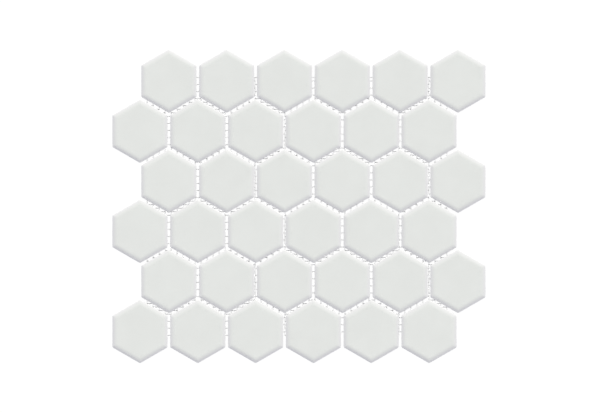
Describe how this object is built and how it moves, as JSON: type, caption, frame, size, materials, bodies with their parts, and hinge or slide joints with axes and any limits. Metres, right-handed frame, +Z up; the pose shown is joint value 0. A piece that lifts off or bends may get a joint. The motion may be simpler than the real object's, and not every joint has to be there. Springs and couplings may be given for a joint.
{
  "type": "hexagon floor tile",
  "caption": "Net-backed sheet of matt hexagon floor tiles with cushioned edges, laid in staggered rows with open grout joints.",
  "frame": {"origin": "on the floor under the middle of the tile field: the middle of the whole box in X and Y, and the net's underside in Z", "axes": "+Z up out of the tiles' faces, +X along the rows, +Y towards the first row, whose tiles step towards +X"},
  "size_m": [0.3486, 0.2928, 0.0065],
  "materials": {
    "matt_glaze": "matte",
    "backing_net": "matte"
  },
  "bodies": {
    "root": {"tile_r1_c1": "matt_glaze", "tile_r1_c2": "matt_glaze", "tile_r1_c3": "matt_glaze", "tile_r1_c4": "matt_glaze", "tile_r1_c5": "matt_glaze", "tile_r1_c6": "matt_glaze", "tile_r2_c1": "matt_glaze", "tile_r2_c2": "matt_glaze", "tile_r2_c3": "matt_glaze", "tile_r2_c4": "matt_glaze", "tile_r2_c5": "matt_glaze", "tile_r2_c6": "matt_glaze", "tile_r3_c1": "matt_glaze", "tile_r3_c2": "matt_glaze", "tile_r3_c3": "matt_glaze", "tile_r3_c4": "matt_glaze", "tile_r3_c5": "matt_glaze", "tile_r3_c6": "matt_glaze", "tile_r4_c1": "matt_glaze", "tile_r4_c2": "matt_glaze", "tile_r4_c3": "matt_glaze", "tile_r4_c4": "matt_glaze", "tile_r4_c5": "matt_glaze", "tile_r4_c6": "matt_glaze", "tile_r5_c1": "matt_glaze", "tile_r5_c2": "matt_glaze", "tile_r5_c3": "matt_glaze", "tile_r5_c4": "matt_glaze", "tile_r5_c5": "matt_glaze", "tile_r5_c6": "matt_glaze", "tile_r6_c1": "matt_glaze", "tile_r6_c2": "matt_glaze", "tile_r6_c3": "matt_glaze", "tile_r6_c4": "matt_glaze", "tile_r6_c5": "matt_glaze", "tile_r6_c6": "matt_glaze", "net_strip_01": "backing_net", "net_strip_02": "backing_net", "net_strip_03": "backing_net", "net_strip_04": "backing_net", "net_strip_05": "backing_net", "net_strip_06": "backing_net", "net_strip_07": "backing_net", "net_strip_08": "backing_net", "net_strip_09": "backing_net", "net_strip_10": "backing_net"}
  },
  "joints": []
}
